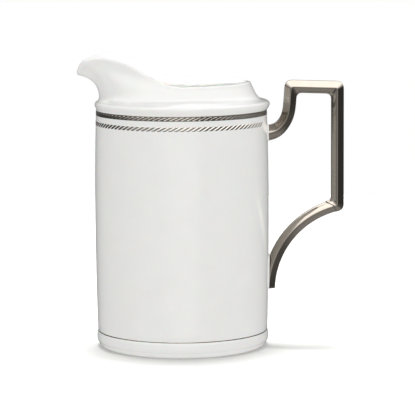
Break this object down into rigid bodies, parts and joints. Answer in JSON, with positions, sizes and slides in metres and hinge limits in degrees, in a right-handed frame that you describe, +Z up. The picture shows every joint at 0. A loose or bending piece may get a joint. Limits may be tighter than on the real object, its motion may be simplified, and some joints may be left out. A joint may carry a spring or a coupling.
{
  "type": "china cream jug",
  "caption": "Tall straight-sided white china jug with a cushion shoulder, an upswept pouring lip, an angular platinum-coated handle and platinum rope bands",
  "frame": {"origin": "centre of the foot ring in the plane that the jug stands on, on the vessel's axis", "axes": "+Z up along the vessel's axis, +X towards the handle, -X towards the pouring lip, Y across the jug"},
  "size_m": [0.1167, 0.0768, 0.128],
  "materials": {
    "china": "glossy white glaze on bone china, dry foot ring",
    "handle_platinum": "bright fired platinum film over glazed china",
    "band_platinum": "fired platinum, fine slanted rope strokes",
    "slip": "glossy white glaze over slip"
  },
  "bodies": {
    "root": {"vessel": "china", "handle": "handle_platinum", "upper_band": "band_platinum", "lower_band": "band_platinum", "foot_line": "band_platinum", "upper_handle_joint": "slip", "lower_handle_joint": "slip"}
  },
  "joints": []
}
